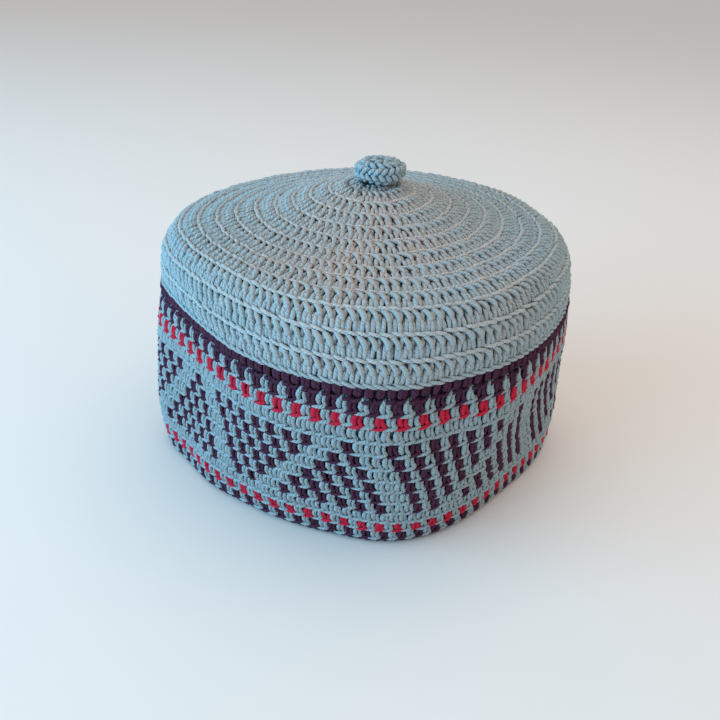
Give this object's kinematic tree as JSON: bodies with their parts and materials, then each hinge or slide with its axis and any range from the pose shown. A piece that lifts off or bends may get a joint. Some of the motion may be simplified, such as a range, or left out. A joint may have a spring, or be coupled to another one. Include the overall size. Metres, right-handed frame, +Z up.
{
  "type": "crocheted kufi cap",
  "caption": "Round crocheted cap with a raised crown, an upright patterned side band, a dark hem it stands on and a small crocheted button on top; hollow and open below.",
  "frame": {"origin": "on the surface that the hem stands on, in the middle of the cap's outline seen from above", "axes": "+Z up through the crown, the front faces -Y, +X to the right seen from the front"},
  "size_m": [0.1912, 0.194, 0.1375],
  "materials": {
    "crown_yarn": "matt crocheted cotton, light blue",
    "band_yarn": "matt crocheted cotton, light blue with dark purple and crimson stitches",
    "hem_yarn": "matt crocheted cotton, dark purple",
    "button_yarn": "matt crocheted cotton, light blue, a little bluer than the crown"
  },
  "bodies": {
    "root": {"crown": "crown_yarn", "side_band": "band_yarn", "hem_trim": "hem_yarn", "top_button": "button_yarn"}
  },
  "joints": []
}
